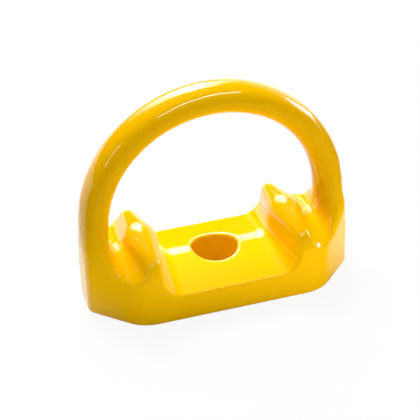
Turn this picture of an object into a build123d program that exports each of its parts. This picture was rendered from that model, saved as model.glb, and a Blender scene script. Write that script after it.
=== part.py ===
"""Swivel anchor ring: a forged eye that turns on a captive foot bush round its fixing bolt.

Frame: origin on the mounting face at the bore axis, +Z away from that face, +X along the base.
All sizes are in millimetres.
"""

from build123d import *
from math import cos, radians, sqrt
import os

# Driving dimensions -------------------------------------------------------------------

# base of the forging
base_length = 104.8            # X, over the two end flats
base_depth = 47.4              # Y, over the two long faces
base_clearance = 0.3           # the forging hangs this far above the mounting face
corner_cut = 16.8              # leg of the 45 degree cut across each plan corner
corner_radius_long = 15.0      # plan radius where a long face turns into the cut
corner_radius_end = 5.0        # plan radius where the cut turns into the end flat
foot_edge_radius = 0.8         # lower outer edge
rim_radius = 1.2               # upper edges on the outer faces
draft = 11.6                   # forging draft to both sides of the parting plane, degrees

# long section at the parting plane, from the saddle out to the bow
saddle_height = 16.0
saddle_half_width = 22.2       # to the upright flank of the hump
saddle_fillet = 3.4
hump_radius = 7.1
hump_centre_height = 23.4
channel_turn = 13.0            # how far the hump's arc stops short of upright, degrees
nose_height = 18.9             # from here up the humps' front and back ends are rounded
nose_radius = 8.5
nose_turn = 65.0               # degrees that this rounding turns through before it runs straight

# bow
bow_radius = 46.7              # centre line of the arch
bow_centre_height = 32.0
bow_thickness = 11.3           # in the plane of the arch
bow_width = 17.0               # along Y

# flare, where each leg of the bow spreads over the end of the base
flare_top_height = 37.5
flare_foot_height = 16.0
flare_sink = 0.5               # the flare starts this far inside the bow's surface
flare_spread_x = 18.0          # growth of its half thickness on the way down
flare_spread_y = 28.0          # growth of its half width
flare_power = 3                # how late both grow: a higher power keeps the leg slender for longer
flare_sections = 7

# bore and the swivel in the underside
bolt_bore = 18.0               # takes an M16 shoulder bolt
bore_rim_radius = 0.9
recess_outer_diameter = 34.0
recess_inner_diameter = 22.0   # outside of the collar that carries the bore down through the recess
recess_roof = 4.0              # height above the mounting face
running_gap = 0.05             # between the forging and what it turns on
bush_foot_diameter = 31.6
bush_flange_thickness = 1.0
bush_edge_chamfer = 0.4
washer_thickness = 0.6
wire_diameter = 1.4            # round wire of the snap ring
wire_height = 1.6              # its centre above the mounting face
wire_opening = 24              # angle of the snap ring's gap, degrees

# Derived places -----------------------------------------------------------------------

half_length = base_length / 2
half_depth = base_depth / 2
bow_inner = bow_radius - bow_thickness / 2
hump_x = saddle_half_width + hump_radius
turn_cosine = cos(radians(channel_turn))
channel_radius = (bow_inner - hump_x - hump_radius * turn_cosine) / (1 + turn_cosine)
channel_x = bow_inner - channel_radius
flare_core_x = bow_thickness / 2 - flare_sink
flare_core_y = bow_width / 2 - flare_sink
block_top = flare_top_height
relief_margin = 30             # how far the relief's profile runs past the base
flange_top = recess_roof - running_gap - washer_thickness
flange_bottom = flange_top - bush_flange_thickness
bush_bore = recess_inner_diameter + 2 * running_gap
bush_flange_diameter = recess_outer_diameter - 2 * running_gap

os.makedirs("parts", exist_ok=True)


def is_rim(edge, upright_faces):
    """True for an upper edge of the base that lies on one of its upright outer faces."""
    middle = edge @ 0.5
    if middle.Z < saddle_height / 2 or abs((edge % 0.5).Z) > 0.999:
        return False
    return any(face.distance_to(middle) < 0.001 for face in upright_faces)


def is_bore_rim(edge):
    """True for an edge round the top of the bolt bore."""
    return Vector(0, 0, edge.center().Z).sub(edge @ 0).length < bolt_bore and (edge @ 0).Z > recess_roof


# Forged ring --------------------------------------------------------------------------

# plan of the base: an oblong with its corners cut at 45 degrees and rounded
with BuildPart() as plan_block:
    with BuildSketch(Plane.XY.offset(base_clearance)):
        Rectangle(base_length, base_depth)
        chamfer(vertices(), corner_cut)
        fillet(vertices().filter_by(lambda v: abs(v.X) > half_length - 1), corner_radius_end)
        fillet(vertices().filter_by(lambda v: abs(v.Y) > half_depth - 1), corner_radius_long)
    extrude(amount=block_top)

# section through saddle, humps and channels, drafted away from the parting plane
with BuildPart() as relief:
    with BuildSketch(Plane.XZ):
        with BuildLine():
            floor = Line((0, saddle_height), (saddle_half_width - saddle_fillet, saddle_height))
            heel = JernArc(floor @ 1, floor % 1, saddle_fillet, 90)
            flank = Line(heel @ 1, (saddle_half_width, hump_centre_height))
            hump = JernArc(flank @ 1, flank % 1, hump_radius, channel_turn - 180)
            channel = JernArc(hump @ 1, hump % 1, channel_radius, 180 - channel_turn)
            wall = Line(channel @ 1, (bow_inner, block_top))
            outer_x = half_length + relief_margin
            Polyline(wall @ 1, (outer_x, block_top), (outer_x, -relief_margin), (0, -relief_margin), floor @ 0)
        make_face()
        mirror(about=Plane.YZ)
    extrude(amount=half_depth, taper=draft, both=True)

# the slab, the block that holds the humps, and the two flared legs
with BuildPart() as envelope:
    with BuildSketch():
        Rectangle(base_length, base_depth)
    extrude(amount=flare_foot_height + 2)
    with BuildSketch():
        Rectangle(2 * channel_x, base_depth)
    extrude(amount=block_top)
    for side in (-1, 1):
        for section in range(flare_sections):
            share = section / (flare_sections - 1)
            height = flare_top_height + share * (flare_foot_height - flare_top_height)
            rise = max(height - bow_centre_height, 0)
            spread = share**flare_power
            with BuildSketch(Plane.XY.offset(height)):
                with Locations((side * sqrt(bow_radius**2 - rise**2), 0)):
                    Ellipse(flare_core_x + flare_spread_x * spread, flare_core_y + flare_spread_y * spread)
        loft()

with BuildPart() as ring_body:
    add(plan_block.part)
    add(relief.part, mode=Mode.INTERSECT)
    add(envelope.part, mode=Mode.INTERSECT)

    # bow
    with BuildLine(Plane.XZ):
        arch = CenterArc((0, bow_centre_height), bow_radius, 0, 180)
    with BuildSketch(Plane.XY.offset(bow_centre_height)):
        with Locations((bow_radius, 0)):
            Ellipse(bow_thickness / 2, bow_width / 2)
    sweep(path=arch)

    # rounded outer edges
    outer_faces = plan_block.part.faces().filter_by(lambda f: abs(f.normal_at().Z) < 0.1)
    fillet(edges().filter_by(lambda e: is_rim(e, outer_faces)), rim_radius)
    fillet(faces().sort_by(Axis.Z)[0].edges(), foot_edge_radius)

    # rounded front and back ends of the humps
    with BuildSketch(Plane.YZ):
        with BuildLine():
            nose = JernArc((half_depth, nose_height), (0, 1), nose_radius, nose_turn)
            crown = Line(nose @ 1, nose @ 1 + (nose % 1) * nose_radius)
            Polyline(crown @ 1, (half_depth + 1, (crown @ 1).Y), (half_depth + 1, nose_height), nose @ 0)
        make_face()
        mirror(about=Plane.YZ)
    extrude(amount=channel_x, both=True, mode=Mode.SUBTRACT)

    # bolt bore, recess for the bush and groove for the snap ring
    with BuildSketch():
        Circle(bolt_bore / 2)
    extrude(amount=block_top, mode=Mode.SUBTRACT)
    with BuildSketch():
        Circle(recess_outer_diameter / 2)
        Circle(recess_inner_diameter / 2, mode=Mode.SUBTRACT)
    extrude(amount=recess_roof, mode=Mode.SUBTRACT)
    with BuildSketch(Plane.XZ):
        with Locations((recess_outer_diameter / 2, wire_height)):
            Circle(wire_diameter / 2 + running_gap)
    revolve(axis=Axis.Z, mode=Mode.SUBTRACT)
    fillet(edges().filter_by(GeomType.ELLIPSE).filter_by(is_bore_rim), bore_rim_radius)
ring_body.part.label = "ring_body"

# Foot bush: stands on the mounting face, its flange captive in the recess ------------------

with BuildPart() as foot_bush:
    with BuildSketch():
        Circle(bush_foot_diameter / 2)
    extrude(amount=flange_top)
    with BuildSketch(Plane.XY.offset(flange_bottom)):
        Circle(bush_flange_diameter / 2)
    extrude(amount=bush_flange_thickness)
    with BuildSketch():
        Circle(bush_bore / 2)
    extrude(amount=flange_top, mode=Mode.SUBTRACT)
    chamfer(faces().sort_by(Axis.Z)[0].edges(), bush_edge_chamfer)
foot_bush.part.label = "foot_bush"

# Thrust washer: between the bush's flange and the roof of the recess ------------------------

with BuildPart() as thrust_washer:
    with BuildSketch(Plane.XY.offset(flange_top)):
        Circle(bush_flange_diameter / 2)
        Circle(bush_bore / 2, mode=Mode.SUBTRACT)
    extrude(amount=washer_thickness)
thrust_washer.part.label = "thrust_washer"

# Snap ring: round wire in the forging's groove, under the bush's flange ---------------------

with BuildPart() as snap_ring:
    with BuildLine(Plane.XY.offset(wire_height)):
        wire_line = CenterArc((0, 0), recess_outer_diameter / 2, wire_opening / 2, 360 - wire_opening)
    with BuildSketch(Plane(origin=wire_line @ 0, z_dir=wire_line % 0)):
        Circle(wire_diameter / 2)
    sweep(path=wire_line)
snap_ring.part.label = "snap_ring"

for piece in (ring_body, foot_bush, thrust_washer, snap_ring):
    export_step(piece.part, f"parts/{piece.part.label}.step")
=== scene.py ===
"""Dresses a swivel anchor ring: a forging under thick glossy yellow paint, its swivel underneath.

Lengths are in metres in the part's own frame: origin on the mounting face at the bolt bore, +Z up,
+X along the base.
"""

from math import cos, radians, sin, tan

import bpy
import numpy as np
from bpy.props import FloatProperty, FloatVectorProperty, IntProperty, PointerProperty
from mathutils import Matrix, Vector


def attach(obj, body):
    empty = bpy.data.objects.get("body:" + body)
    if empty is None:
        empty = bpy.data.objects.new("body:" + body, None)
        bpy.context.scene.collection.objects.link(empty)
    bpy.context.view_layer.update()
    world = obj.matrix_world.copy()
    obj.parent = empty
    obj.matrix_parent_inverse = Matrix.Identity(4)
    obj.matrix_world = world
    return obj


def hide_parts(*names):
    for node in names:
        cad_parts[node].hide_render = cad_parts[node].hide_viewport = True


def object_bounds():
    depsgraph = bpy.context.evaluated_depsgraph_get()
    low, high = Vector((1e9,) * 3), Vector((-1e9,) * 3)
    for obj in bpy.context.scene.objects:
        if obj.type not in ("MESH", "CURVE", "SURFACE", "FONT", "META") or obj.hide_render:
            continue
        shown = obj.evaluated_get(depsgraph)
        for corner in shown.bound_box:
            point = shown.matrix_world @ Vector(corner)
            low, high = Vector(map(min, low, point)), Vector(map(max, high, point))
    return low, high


bl_info = {
    "name": "Swivel Anchor Ring",
    "version": (1, 0, 0),
    "blender": (4, 5, 0),
    "location": "View3D > Sidebar > Anchor Ring",
    "description": "Builds the painted ring, dresses its swivel and sets up the studio",
    "category": "Object",
}

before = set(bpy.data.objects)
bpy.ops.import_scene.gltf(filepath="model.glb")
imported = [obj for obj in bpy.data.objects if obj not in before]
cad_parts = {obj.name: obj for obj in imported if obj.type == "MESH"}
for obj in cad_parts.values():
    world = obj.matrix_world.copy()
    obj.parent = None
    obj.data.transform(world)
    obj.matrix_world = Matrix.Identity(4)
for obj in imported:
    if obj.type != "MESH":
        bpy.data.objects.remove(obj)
cad_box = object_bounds()

MM = 0.001
WHITE = (1.0, 1.0, 1.0, 1.0)

# Coat and metals
PAINT_IOR = 1.5
CLOUD_SHARE = 0.1                           # share of the blend towards the painted shade that random cloud gives in place of height
STAIN_EDGES = (0.3, 0.75)                   # noise from which bronze is stained, and fully so
FILM_EDGES = (0.3, 0.7)                     # the same for the film of oil

# Regions of the forging. Each pair is the band over which a region fades in or out
RIDGE_FOOT = (9 * MM, 12 * MM)              # height
RIDGE_TOP = (32 * MM, 38 * MM)              # height
RIDGE_END = (41 * MM, 43 * MM)              # along the base
BORE_RIM = (9.2 * MM, 10.4 * MM)            # radius
FLARE_INNER = (40 * MM, 43 * MM)            # along the base
FLARE_FOOT = (18 * MM, 22 * MM)             # height
FLARE_TOP = (40 * MM, 46 * MM)              # height
HUMP_INNER = (15 * MM, 19 * MM)             # along the base
HUMP_OUTER = (36 * MM, 39 * MM)             # along the base
HUMP_FOOT = (12 * MM, 16 * MM)              # height
HUMP_FRONT = (19 * MM, 22 * MM)             # across the base
HUMP_NOSE = (20 * MM, 23 * MM)              # height
EVEN_SHARE = 0.4                            # how far one pass moves a vertex to its neighbours
SOFT_SHARE = 0.5
LEAST_ACROSS = 0.1                          # keeps the push finite where a surface faces along Y

# Floor. The gloss mirrors it beyond a line in front of the bore, which runs back at both ends
FLOOR_HALF = 3.0
FLOOR_DROP = 0.1 * MM                       # below the ring
SPECKLE_SCALE = 40.0
SPECKLE_SHADE = 0.98
BEND_LEFT = -0.05                           # where the left end begins
BEND_RIGHT = 0.075                          # where the right end begins
SLOPE_LEFT = 0.36                           # of the left end; the right one has 1
LINE_FADE = (-0.023, 0.0)
BORE_SHADE = (0.022, 0.04)                  # radius round the bore that the gloss sees as dark
BOUNCE_EAST, BOUNCE_NORTH = 0.5, 0.8        # bounced light comes from the front right
BOUNCE_FADE = (0.01, 0.06)

# Screens in the world that the gloss mirrors, in parts of the unit vector towards them
TABLE_TOP = (0.0, 0.06)
TABLE_FRONT = (0.3, 0.6)
TABLE_SKEW = 0.2
WALL_TOP = (0.35, 0.5)
WALL_FRONT = (0.5, 0.65)
WALL_SKEW = 0.5
WALL_LEFT = (0.25, 0.4)
LEAST_NORTH = 0.05                          # keeps east over north finite
BOX_FRONT = (0.0, 0.1)
BOX_LEFT = (-0.55, 0.1)                     # east over north
BOX_RIGHT = (0.17, 0.58)                    # east over north
BOX_FOOT = (0.23, 0.27)
BOX_TOP = 0.79
BOX_PEAK = 0.12                             # east over north where the top stands highest
BOX_SAG = 0.2                               # how fast the top falls to both sides of it
BOX_TOP_FADE = (-0.03, 0.03)
BOX_GRADE = (0.25, 0.74)
BOX_DIM = 0.4                               # brightness of the box at its foot
OVERHEAD = (0.75, 0.97)

# Lamps and camera
LAMP_DISTANCE = 0.9
WHITE_POWER = 4.0                           # watts per square metre, as bright as white
SENSOR_WIDTH = 36.0                         # millimetres


# Shader expressions ---------------------------------------------------------------------


class Wire:
    """A socket of a node tree that takes part in expressions."""

    def __init__(self, tree, socket):
        self.tree = tree
        self.socket = socket

    def math(self, operation, *others):
        """A Math node on this value and the others."""
        made = self.tree.node("ShaderNodeMath", {"operation": operation}, {})
        for place, value in enumerate((self, *others)):
            self.tree.feed(made.inputs[place], value)
        return Wire(self.tree, made.outputs[0])

    def __add__(self, other):
        return self.math("ADD", other)

    __radd__ = __add__

    def __mul__(self, other):
        return self.math("MULTIPLY", other)

    __rmul__ = __mul__

    def __sub__(self, other):
        return self.math("SUBTRACT", other)

    def __rsub__(self, other):
        return self * -1.0 + other

    def clamped(self):
        """The value held between 0 and 1."""
        return self.math("MAXIMUM", 0.0).math("MINIMUM", 1.0)

    def ramp(self, low, high):
        """Runs smoothly from 0 at low to 1 at high."""
        settings = {"interpolation_type": "SMOOTHSTEP"}
        made = self.tree.node("ShaderNodeMapRange", settings, {0: self, 1: low, 2: high})
        return Wire(self.tree, made.outputs[0])


class Tree:
    """Makes the nodes of one material or world."""

    def __init__(self, owner):
        owner.use_nodes = True
        self.nodes = owner.node_tree.nodes
        self.links = owner.node_tree.links
        self.nodes.clear()

    def feed(self, socket, value):
        """Links a wire to a socket, or sets the socket to a plain value."""
        if isinstance(value, Wire):
            self.links.new(value.socket, socket)
        else:
            socket.default_value = value

    def node(self, kind, settings, inputs):
        """Adds a node of a type, with its settings and then its sockets' values or links."""
        made = self.nodes.new(kind)
        for name, value in settings.items():
            setattr(made, name, value)
        for name, value in inputs.items():
            self.feed(made.inputs[name], value)
        return made

    def wire(self, made, output=0):
        """An output of a node, ready for expressions."""
        return Wire(self, made.outputs[output])

    def place(self, output="Object"):
        """The point on the surface, in the part's frame, or another of the coordinates."""
        return self.wire(self.node("ShaderNodeTexCoord", {}, {}), output)

    def axes(self, vector):
        """The three parts of a vector, as a wire each."""
        made = self.node("ShaderNodeSeparateXYZ", {}, {0: vector})
        return [self.wire(made, axis) for axis in range(3)]

    def looks(self):
        """Where a surface is seen directly or through glass, and where a gloss mirrors it."""
        path = self.node("ShaderNodeLightPath", {}, {})
        direct = self.wire(path, "Is Camera Ray") + self.wire(path, "Is Transmission Ray")
        return direct.clamped(), self.wire(path, "Is Glossy Ray")

    def noise(self, scale, detail):
        """Cloudy noise of a scale in cycles per metre."""
        inputs = {"Vector": self.place(), "Scale": scale, "Detail": detail}
        return self.wire(self.node("ShaderNodeTexNoise", {}, inputs))

    def mix(self, share, first, second):
        """Blends two colours."""
        made = self.node("ShaderNodeMix", {"data_type": "RGBA"}, {0: share, 6: first, 7: second})
        return self.wire(made, 2)

    def bump(self, height, distance, below=None):
        """The normal of a surface that is raised by height times distance."""
        inputs = {"Height": height, "Distance": distance}
        if below is not None:
            inputs["Normal"] = below
        return self.wire(self.node("ShaderNodeBump", {}, inputs))

    def glow(self, colour, strength):
        """A surface that gives off light."""
        inputs = {"Color": colour, "Strength": strength}
        return self.wire(self.node("ShaderNodeEmission", {}, inputs))

    def blend(self, share, first, second):
        """Goes from the first surface to the second."""
        return self.wire(self.node("ShaderNodeMixShader", {}, {0: share, 1: first, 2: second}))

    def surface(self, inputs):
        """Ends the tree in a Principled surface."""
        shader = self.node("ShaderNodeBsdfPrincipled", {}, inputs)
        self.node("ShaderNodeOutputMaterial", {}, {"Surface": self.wire(shader)})


def rgba(colour):
    """A colour property as four numbers."""
    return (*colour, 1.0)


# Finishes -------------------------------------------------------------------------------


def yellow_paint(settings):
    """Thick glossy coat with a slight orange peel. Up on the bow its colour is painted darker and a
    little more orange, as painted shade.
    """
    material = bpy.data.materials.new("yellow_paint")
    tree = Tree(material)
    cloud = tree.noise(settings.cloud_scale, detail=3.0)
    height = tree.axes(tree.place())[2]
    # Painted shade: the colour goes darker and more orange with height, up on the bow; a tenth of
    # the blend is random cloud.
    shaded = height.ramp(settings.shade_from, settings.shade_to)
    shaded = shaded * (1 - CLOUD_SHARE) + cloud * CLOUD_SHARE
    colour = tree.mix(shaded, rgba(settings.colour), rgba(settings.colour_painted_shade))
    peel = tree.noise(settings.peel_scale, detail=1.0)
    waves = tree.noise(settings.wave_scale, detail=1.0)
    normal = tree.bump(waves, settings.wave_height)
    normal = tree.bump(peel, settings.peel_height, below=normal)
    tree.surface({
        "Base Color": colour,
        "Roughness": settings.base_roughness + cloud * settings.cloud_roughness,
        "IOR": PAINT_IOR,
        "Specular IOR Level": 0.0,
        "Coat Weight": 1.0,
        "Coat Roughness": settings.gloss_roughness,
        "Coat IOR": PAINT_IOR,
        "Normal": normal,
    })
    return material


def turned_bronze(settings):
    """Machined bronze with the rings that the lathe tool left."""
    material = bpy.data.materials.new("bronze")
    tree = Tree(material)
    east, north = tree.axes(tree.place())[:2]
    radius = (east * east + north * north).math("SQRT")
    groove = (radius * settings.groove_scale).math("SINE")
    stain = tree.noise(settings.stain_scale, detail=4.0)
    stained = stain.ramp(*STAIN_EDGES)
    tree.surface({
        "Base Color": tree.mix(stained, rgba(settings.bronze), rgba(settings.bronze_stain)),
        "Metallic": 1.0,
        "Roughness": settings.bronze_roughness + stain * settings.stain_roughness,
        "Normal": tree.bump(groove, settings.groove_height),
    })
    return material


def bearing_plastic(settings):
    """Dark moulded plastic with a fine grain."""
    material = bpy.data.materials.new("bearing_plastic")
    tree = Tree(material)
    grain = tree.noise(settings.grain_scale, detail=3.0)
    tree.surface({
        "Base Color": tree.mix(grain, rgba(settings.plastic), rgba(settings.plastic_light)),
        "Roughness": settings.plastic_roughness + grain * settings.grain_roughness,
        "Normal": tree.bump(grain, settings.grain_height),
    })
    return material


def oiled_steel(settings):
    """Drawn spring wire with a film of oil."""
    material = bpy.data.materials.new("spring_steel")
    tree = Tree(material)
    film = tree.noise(settings.film_scale, detail=4.0)
    oiled = film.ramp(*FILM_EDGES)
    tree.surface({
        "Base Color": tree.mix(oiled, rgba(settings.steel), rgba(settings.steel_dark)),
        "Metallic": 1.0,
        "Roughness": settings.steel_roughness + film * settings.film_roughness,
        "Normal": tree.bump(film, settings.film_height),
    })
    return material


# Forging --------------------------------------------------------------------------------


def apply_modifier(piece, kind, **settings):
    """Runs one modifier on a piece and keeps its result as the mesh."""
    modifier = piece.modifiers.new(kind.lower(), kind)
    for name, value in settings.items():
        setattr(modifier, name, value)
    depsgraph = bpy.context.evaluated_depsgraph_get()
    mesh = bpy.data.meshes.new_from_object(piece.evaluated_get(depsgraph))
    piece.modifiers.clear()
    piece.data = mesh


def rows_of(mesh, name):
    """A vector of each vertex, its place or its normal, as an array of rows."""
    rows = np.empty(len(mesh.vertices) * 3)
    mesh.vertices.foreach_get(name, rows)
    return rows.reshape(-1, 3)


def move_to(mesh, points):
    """Puts the vertices of a mesh at new places."""
    mesh.vertices.foreach_set("co", points.ravel())
    mesh.update()


def soften(mesh, share, passes):
    """Evens out a surface: each pass moves a vertex by its share towards its neighbours."""
    points = rows_of(mesh, "co")
    ends = np.empty(len(mesh.edges) * 2, dtype=np.int64)
    mesh.edges.foreach_get("vertices", ends)
    first, second = ends.reshape(-1, 2).T
    count = np.bincount(ends, minlength=len(points))[:, None]
    for _ in range(passes):
        total = np.empty_like(points)
        for axis in range(3):
            to_first = np.bincount(first, points[second, axis], len(points))
            to_second = np.bincount(second, points[first, axis], len(points))
            total[:, axis] = to_first + to_second
        points += share[:, None] * (total / count - points)
    move_to(mesh, points)


def rise(values, low, high):
    """Runs smoothly from 0 at low to 1 at high."""
    share = np.clip((values - low) / (high - low), 0.0, 1.0)
    return share * share * (3.0 - 2.0 * share)


def fall(values, low, high):
    """Runs smoothly from 1 at low to 0 at high."""
    return 1 - rise(values, low, high)


# Properties -----------------------------------------------------------------------------


class PaintSettings(bpy.types.PropertyGroup):
    """Colours, gloss and grain of the yellow coat"""

    colour: FloatVectorProperty(
        name="Colour", description="Colour of the yellow coat", subtype="COLOR",
        default=(0.97, 0.535, 0.0), min=0.0, max=1.0)
    # Painted shade: the darker, more orange colour given to the bow higher up
    colour_painted_shade: FloatVectorProperty(
        name="Thin colour", description="Colour where the coat is thinner, up on the bow",
        subtype="COLOR", default=(0.69, 0.365, 0.0), min=0.0, max=1.0)
    # Height where the painted shade on the bow begins
    shade_from: FloatProperty(
        name="Thin from", description="Height at which the coat begins to thin", unit="LENGTH",
        default=15 * MM)
    # Height from which the painted shade on the bow is full
    shade_to: FloatProperty(
        name="Thin to", description="Height from which the coat is thin", unit="LENGTH",
        default=40 * MM)
    base_roughness: FloatProperty(
        name="Base roughness", description="Roughness under the glossy top of the coat",
        subtype="FACTOR", default=0.3, min=0.0, max=1.0)
    gloss_roughness: FloatProperty(
        name="Gloss roughness", description="Roughness of the glossy top of the coat",
        subtype="FACTOR", default=0.08, min=0.0, max=1.0)
    cloud_scale: FloatProperty(
        name="Cloud scale", description="Cycles per metre of the coat's slow changes",
        default=60.0)
    cloud_roughness: FloatProperty(
        name="Cloud roughness", description="Most that the slow changes add to the base roughness",
        subtype="FACTOR", default=0.06, min=0.0, max=1.0)
    peel_scale: FloatProperty(
        name="Peel scale", description="Cycles per metre of the orange peel", default=900.0)
    peel_height: FloatProperty(
        name="Peel height", description="Height of the orange peel", unit="LENGTH", default=4e-6,
        precision=6)
    wave_scale: FloatProperty(
        name="Wave scale", description="Cycles per metre of the forging's long waves",
        default=140.0)
    wave_height: FloatProperty(
        name="Wave height", description="Height of the forging's long waves", unit="LENGTH",
        default=6e-5, precision=6)


class ForgingSettings(bpy.types.PropertyGroup):
    """Mesh size and softness of the forging"""

    grid: FloatProperty(
        name="Grid", description="Size of the mesh's squares", unit="LENGTH", default=0.56 * MM,
        precision=5)
    draft: FloatProperty(
        name="Draft", description="Slope of the forged surfaces to both sides of the parting plane",
        subtype="ANGLE", default=radians(11.6))
    ridge_half_width: FloatProperty(
        name="Ridge half width", description="Reach of the ridge's rounding from the parting plane",
        unit="LENGTH", default=3.2 * MM, precision=5)
    even_passes: IntProperty(
        name="Even passes", description="Light smoothing passes over the whole forging", default=2)
    soft_passes: IntProperty(
        name="Soft passes", description="Smoothing passes over the flares", default=60)
    hump_passes: IntProperty(
        name="Hump passes", description="Smoothing passes over the humps", default=30)


class SwivelSettings(bpy.types.PropertyGroup):
    """Colours and grain of the bush, the washer and the snap ring"""

    bronze: FloatVectorProperty(
        name="Bronze", description="Colour of the turned bronze", subtype="COLOR",
        default=(0.60, 0.36, 0.13), min=0.0, max=1.0)
    bronze_stain: FloatVectorProperty(
        name="Bronze stain", description="Colour of the bronze where it has dulled",
        subtype="COLOR", default=(0.38, 0.21, 0.08), min=0.0, max=1.0)
    bronze_roughness: FloatProperty(
        name="Bronze roughness", description="Roughness of clean bronze",
        subtype="FACTOR", default=0.28, min=0.0, max=1.0)
    stain_scale: FloatProperty(
        name="Stain scale", description="Cycles per metre of the bronze's stains", default=180.0)
    stain_roughness: FloatProperty(
        name="Stain roughness", description="Most that a stain adds to the roughness",
        subtype="FACTOR", default=0.2, min=0.0, max=1.0)
    groove_scale: FloatProperty(
        name="Groove scale", description="Radians per metre of the turning rings",
        default=16000.0)
    groove_height: FloatProperty(
        name="Groove height", description="Height of the turning rings", unit="LENGTH",
        default=4e-6, precision=6)
    plastic: FloatVectorProperty(
        name="Plastic", description="Colour of the bearing plastic", subtype="COLOR",
        default=(0.020, 0.020, 0.022), min=0.0, max=1.0)
    plastic_light: FloatVectorProperty(
        name="Plastic grain", description="Colour of the grain in the bearing plastic",
        subtype="COLOR", default=(0.035, 0.035, 0.038), min=0.0, max=1.0)
    plastic_roughness: FloatProperty(
        name="Plastic roughness", description="Roughness between the grain",
        subtype="FACTOR", default=0.5, min=0.0, max=1.0)
    grain_scale: FloatProperty(
        name="Grain scale", description="Cycles per metre of the plastic's grain", default=2600.0)
    grain_roughness: FloatProperty(
        name="Grain roughness", description="Most that the grain adds to the roughness",
        subtype="FACTOR", default=0.15, min=0.0, max=1.0)
    grain_height: FloatProperty(
        name="Grain height", description="Height of the plastic's grain", unit="LENGTH",
        default=8e-6, precision=6)
    steel: FloatVectorProperty(
        name="Steel", description="Colour of the spring wire", subtype="COLOR",
        default=(0.30, 0.30, 0.32), min=0.0, max=1.0)
    steel_dark: FloatVectorProperty(
        name="Oiled steel", description="Colour of the wire under oil", subtype="COLOR",
        default=(0.12, 0.11, 0.10), min=0.0, max=1.0)
    steel_roughness: FloatProperty(
        name="Steel roughness", description="Roughness of the bare wire",
        subtype="FACTOR", default=0.24, min=0.0, max=1.0)
    film_scale: FloatProperty(
        name="Film scale", description="Cycles per metre of the film of oil", default=320.0)
    film_roughness: FloatProperty(
        name="Film roughness", description="Most that the film adds to the roughness",
        subtype="FACTOR", default=0.22, min=0.0, max=1.0)
    film_height: FloatProperty(
        name="Film height", description="Thickness of the film of oil", unit="LENGTH",
        default=5e-6, precision=6)


class StageSettings(bpy.types.PropertyGroup):
    """Floor, surroundings, lamps and camera"""

    floor_colour: FloatVectorProperty(
        name="Floor", description="Colour of the studio floor", subtype="COLOR",
        default=(0.62, 0.62, 0.62), min=0.0, max=1.0)
    floor_glow: FloatProperty(
        name="Floor glow", description="Share of the floor's look that no shadow reaches",
        subtype="FACTOR", default=0.9, min=0.0, max=1.0)
    bounce: FloatProperty(
        name="Bounce", description="Soft light from the floor at the front right", default=1.0)
    sky_strength: FloatProperty(
        name="Sky", description="Strength of the soft light from all round", default=0.27)
    sky_east: FloatProperty(
        name="Sky east", description="How much stronger the soft light is from the right",
        default=0.18)
    sky_south: FloatProperty(
        name="Sky south", description="How much stronger the soft light is from the front",
        default=0.24)
    sky_top: FloatProperty(
        name="Sky top", description="Strength of the extra soft light from overhead", default=0.1)
    table_glow: FloatProperty(
        name="Table", description="Brightness in the gloss of the floor's far half", default=1.75)
    wall_glow: FloatProperty(
        name="Wall", description="Brightness in the gloss of the pale wall at the back right",
        default=0.9)
    box_glow: FloatProperty(
        name="Box in the gloss", description="Brightness in the gloss of the large soft box behind",
        default=15.0)
    back_glow: FloatProperty(
        name="Back box", description="Brightness of the light from the large soft box behind",
        default=9.0)
    side_glow: FloatProperty(
        name="Side box", description="Brightness of the small soft box at the right", default=7.0)
    strip_glow: FloatProperty(
        name="Tubes", description="Brightness of the tube overhead and the tube end at the left",
        default=16.0)
    camera_azimuth: FloatProperty(
        name="Camera azimuth", description="How far the camera stands round to the left",
        subtype="ANGLE", default=radians(16.37))
    camera_elevation: FloatProperty(
        name="Camera elevation", description="How far the camera looks down", subtype="ANGLE",
        default=radians(31.41))
    camera_roll: FloatProperty(
        name="Camera roll", description="Turn of the camera about its own axis", subtype="ANGLE",
        default=radians(-2.15))
    camera_distance: FloatProperty(
        name="Camera distance", description="From the camera to the point that it looks at",
        unit="LENGTH", default=0.5075)
    target_height: FloatProperty(
        name="Target height", description="Height of the point in the eye that the camera looks at",
        unit="LENGTH", default=30 * MM)
    target_left: FloatProperty(
        name="Target left", description="How far that point stands to the left in the view",
        unit="LENGTH", default=1.13 * MM, precision=5)
    target_up: FloatProperty(
        name="Target up", description="How far that point stands up in the view", unit="LENGTH",
        default=0.71 * MM, precision=5)
    lens: FloatProperty(
        name="Lens", description="Focal length of the camera", unit="CAMERA", default=113.9)


class RingSettings(bpy.types.PropertyGroup):
    """All settings of the anchor ring"""

    paint: PointerProperty(type=PaintSettings, name="Paint", description="The yellow coat")
    forging: PointerProperty(type=ForgingSettings, name="Forging", description="The ring's mesh")
    swivel: PointerProperty(type=SwivelSettings, name="Swivel", description="The parts underneath")
    stage: PointerProperty(type=StageSettings, name="Stage", description="Floor, lamps and camera")


# Operators ------------------------------------------------------------------------------


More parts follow.
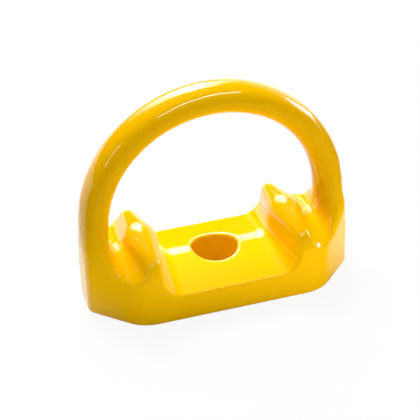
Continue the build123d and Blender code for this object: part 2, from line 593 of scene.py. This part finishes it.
class ANCHOR_OT_forging(bpy.types.Operator):
    """Build the painted forging: saddle, humps, flares and bow as one soft skin"""

    bl_idname = "anchor_ring.forging"
    bl_label = "Forging"

    def execute(self, context):
        settings = context.scene.anchor_ring
        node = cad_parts["ring_body"]
        piece = bpy.data.objects.new("forging", node.data.copy())
        context.scene.collection.objects.link(piece)
        piece.data.materials.clear()
        grid = settings.forging.grid
        apply_modifier(piece, "REMESH", mode="VOXEL", voxel_size=grid, use_smooth_shade=True)
        apply_modifier(piece, "SHRINKWRAP", target=node, wrap_method="NEAREST_SURFACEPOINT")
        self.round_ridge(piece.data, settings.forging)
        self.round_off(piece.data, settings.forging)
        piece.data.name = "forging"
        piece.data.materials.append(yellow_paint(settings.paint))
        piece.data.shade_smooth()
        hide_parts("ring_body")
        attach(piece, "ring")
        return {"FINISHED"}

    def round_ridge(self, mesh, settings):
        """Rounds the ridge along the parting plane on saddle, humps and channels."""
        points = rows_of(mesh, "co")
        normals = rows_of(mesh, "normal")
        x, y, z = np.abs(points).T
        half = settings.ridge_half_width
        inside = np.maximum(half - y, 0.0)
        drop = tan(settings.draft) * (inside**2 / (2 * half))
        upper = rise(z, *RIDGE_FOOT) * fall(z, *RIDGE_TOP) * fall(x, *RIDGE_END)
        drop *= upper * rise(np.hypot(x, y), *BORE_RIM)
        drop /= np.maximum(np.hypot(normals[:, 0], normals[:, 2]), LEAST_ACROSS)
        points[:, 0] -= drop * normals[:, 0]
        points[:, 2] -= drop * normals[:, 2]
        move_to(mesh, points)

    def round_off(self, mesh, settings):
        """Lightly evens the whole skin, then rounds off what thick paint and dies leave soft."""
        soften(mesh, np.full(len(mesh.vertices), EVEN_SHARE), settings.even_passes)
        x, y, z = np.abs(rows_of(mesh, "co")).T
        flare = rise(x, *FLARE_INNER) * rise(z, *FLARE_FOOT) * fall(z, *FLARE_TOP)
        hump = rise(x, *HUMP_INNER) * fall(x, *HUMP_OUTER) * rise(z, *HUMP_FOOT)
        hump *= np.maximum(fall(y, *HUMP_FRONT), rise(z, *HUMP_NOSE))
        soften(mesh, SOFT_SHARE * flare, settings.soft_passes)
        soften(mesh, SOFT_SHARE * hump, settings.hump_passes)


class ANCHOR_OT_swivel(bpy.types.Operator):
    """Dress the bush, the thrust washer and the snap ring in the underside"""

    bl_idname = "anchor_ring.swivel"
    bl_label = "Swivel"

    def execute(self, context):
        settings = context.scene.anchor_ring.swivel
        finishes = {
            "foot_bush": turned_bronze(settings),
            "thrust_washer": bearing_plastic(settings),
            "snap_ring": oiled_steel(settings),
        }
        for name, material in finishes.items():
            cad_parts[name].material_slots[0].material = material
        return {"FINISHED"}


class ANCHOR_OT_stage(bpy.types.Operator):
    """Set the floor, the world, the lamps and the camera"""

    bl_idname = "anchor_ring.stage"
    bl_label = "Stage"

    def execute(self, context):
        settings = context.scene.anchor_ring.stage
        self.lay_floor(context, settings)
        self.light_world(context, settings)
        self.hang_lamps(context, settings)
        self.set_camera(context, settings)
        context.scene.view_settings.view_transform = "Standard"
        return {"FINISHED"}

    def lay_floor(self, context, settings):
        """A wide pale floor just below the ring."""
        half = FLOOR_HALF
        mesh = bpy.data.meshes.new("floor")
        corners = [(-half, -half, 0), (half, -half, 0), (half, half, 0), (-half, half, 0)]
        mesh.from_pydata(corners, [], [(0, 1, 2, 3)])
        mesh.materials.append(self.floor_finish(settings))
        floor = bpy.data.objects.new("floor", mesh)
        floor.location.z = cad_box[0].z - FLOOR_DROP
        context.scene.collection.objects.link(floor)

    def floor_finish(self, settings):
        """White where it is seen, apart from shadows. The gloss mirrors only its far half."""
        material = bpy.data.materials.new("studio_floor")
        tree = Tree(material)
        east, north = tree.axes(tree.place())[:2]
        direct, gloss = tree.looks()
        pale = rgba(settings.floor_colour)
        shade = rgba([SPECKLE_SHADE * value for value in settings.floor_colour])
        speckle = tree.noise(SPECKLE_SCALE, detail=2.0)
        colour = tree.mix(speckle, pale, shade)
        diffuse = tree.wire(tree.node("ShaderNodeBsdfDiffuse", {}, {"Color": colour}))
        seen = tree.blend(settings.floor_glow, diffuse, tree.glow(WHITE, 1.0))

        left = (BEND_LEFT - east).math("MAXIMUM", 0.0)
        right = (east - BEND_RIGHT).math("MAXIMUM", 0.0)
        radius = (east * east + north * north).math("SQRT")
        far = (north - left * SLOPE_LEFT - right).ramp(*LINE_FADE) * radius.ramp(*BORE_SHADE)
        mirrored = tree.glow(pale, far * settings.table_glow)

        near = (east * BOUNCE_EAST - north * BOUNCE_NORTH).ramp(*BOUNCE_FADE)
        lift = tree.glow(WHITE, near * settings.bounce)
        soft = tree.wire(tree.node("ShaderNodeAddShader", {}, {0: diffuse, 1: lift}))
        whole = tree.blend(gloss, tree.blend(direct, soft, seen), mirrored)
        tree.node("ShaderNodeOutputMaterial", {}, {"Surface": whole})
        return material

    def light_world(self, context, settings):
        """Soft light from all round, white where it is seen; the gloss mirrors pale screens."""
        world = bpy.data.worlds.new("studio")
        context.scene.world = world
        tree = Tree(world)
        east, north, height = tree.axes(tree.place("Generated"))
        direct, gloss = tree.looks()
        mirrored = self.screens(east, north, height, settings)
        sky = settings.sky_strength + east * settings.sky_east - north * settings.sky_south
        sky = sky.clamped() + height.ramp(*OVERHEAD) * settings.sky_top
        strength = direct + gloss * mirrored + (1 - (direct + gloss).clamped()) * sky
        shader = tree.node("ShaderNodeBackground", {}, {"Color": WHITE, "Strength": strength})
        tree.node("ShaderNodeOutputWorld", {}, {"Surface": tree.wire(shader)})

    def screens(self, east, north, height, settings):
        """Table, wall at the back right and soft box behind, which is brighter towards its top."""
        table = (1 - height.ramp(*TABLE_TOP)) * (north - east * TABLE_SKEW).ramp(*TABLE_FRONT)
        wall = (1 - height.ramp(*WALL_TOP)) * (north + east * WALL_SKEW).ramp(*WALL_FRONT)
        wall = wall * east.ramp(*WALL_LEFT)
        aside = east.math("DIVIDE", north.math("MAXIMUM", LEAST_NORTH))
        top = BOX_TOP - (aside - BOX_PEAK).math("ABSOLUTE") * BOX_SAG
        box = (1 - aside.ramp(*BOX_RIGHT)) * aside.ramp(*BOX_LEFT) * north.ramp(*BOX_FRONT)
        box = box * height.ramp(*BOX_FOOT) * (1 - (height - top).ramp(*BOX_TOP_FADE))
        box = box * (BOX_DIM + height.ramp(*BOX_GRADE) * (1 - BOX_DIM))
        pale = table * settings.table_glow + wall * settings.wall_glow
        return pale + box * settings.box_glow

    def hang_lamps(self, context, settings):
        """A large soft box behind, a small one at the right, a tube end at the left, a tube above.

        The gloss sees the large box as one of the world's screens and not as a lamp.
        """
        box = self.lamp(
            context, "back_box", azimuth=186, elevation=55, size=(0.61, 0.64),
            glow=settings.back_glow)
        box.visible_glossy = False
        self.lamp(
            context, "side_box", azimuth=114, elevation=12, size=(0.25, 0.25),
            glow=settings.side_glow)
        self.lamp(
            context, "tube_end", azimuth=270, elevation=27, size=(0.02, 0.28),
            glow=settings.strip_glow)
        self.lamp(
            context, "strip", azimuth=20, elevation=78, size=(1.0, 0.045),
            glow=settings.strip_glow)

    def lamp(self, context, name, azimuth, elevation, size, glow):
        """A soft box aimed at the ring, angles in degrees. A glow of 1 is as bright as white."""
        data = bpy.data.lights.new(name, "AREA")
        data.shape = "RECTANGLE"
        data.size, data.size_y = size
        data.energy = WHITE_POWER * glow * data.size * data.size_y
        away = self.away(radians(azimuth), radians(elevation))
        lamp = bpy.data.objects.new(name, data)
        lamp.location = (cad_box[0] + cad_box[1]) / 2 + away * LAMP_DISTANCE
        lamp.rotation_euler = (-away).to_track_quat("-Z", "Y").to_euler()
        context.scene.collection.objects.link(lamp)
        return lamp

    def away(self, azimuth, elevation):
        """The way out from the ring. Azimuth 0 is towards -Y and a quarter turn towards +X."""
        level = cos(elevation)
        return Vector((sin(azimuth) * level, -cos(azimuth) * level, sin(elevation)))

    def set_camera(self, context, settings):
        """A long lens from the front left, a little above."""
        azimuth, roll = settings.camera_azimuth, settings.camera_roll
        forward = -self.away(-azimuth, settings.camera_elevation)
        level = Vector((cos(azimuth), -sin(azimuth), 0.0))
        upward = level.cross(forward)
        right = level * cos(roll) + upward * sin(roll)
        up = upward * cos(roll) - level * sin(roll)
        target = Vector((0.0, 0.0, settings.target_height))
        target += upward * settings.target_up - level * settings.target_left
        data = bpy.data.cameras.new("camera")
        data.lens = settings.lens
        data.sensor_width = SENSOR_WIDTH
        camera = bpy.data.objects.new("camera", data)
        turn = Matrix((right, up, -forward)).transposed()
        place = target - forward * settings.camera_distance
        camera.matrix_world = Matrix.LocRotScale(place, turn, None)
        context.scene.collection.objects.link(camera)
        context.scene.camera = camera


class ANCHOR_PT_ring(bpy.types.Panel):
    """Lists the pieces of the anchor ring"""

    bl_label = "Anchor Ring"
    bl_space_type = "VIEW_3D"
    bl_region_type = "UI"
    bl_category = "Anchor Ring"

    def draw(self, context):
        for step in STEPS:
            self.layout.operator(step.bl_idname)


STEPS = (ANCHOR_OT_forging, ANCHOR_OT_swivel, ANCHOR_OT_stage)
GROUPS = (PaintSettings, ForgingSettings, SwivelSettings, StageSettings, RingSettings)
CLASSES = (*GROUPS, *STEPS, ANCHOR_PT_ring)


def register():
    for one in CLASSES:
        bpy.utils.register_class(one)
    bpy.types.Scene.anchor_ring = PointerProperty(type=RingSettings)


def unregister():
    del bpy.types.Scene.anchor_ring
    for one in reversed(CLASSES):
        bpy.utils.unregister_class(one)


def main():
    """Builds everything in order."""
    register()
    bpy.ops.anchor_ring.forging()
    bpy.ops.anchor_ring.swivel()
    bpy.ops.anchor_ring.stage()
    bpy.context.view_layer.update()


if __name__ == "__main__":
    main()
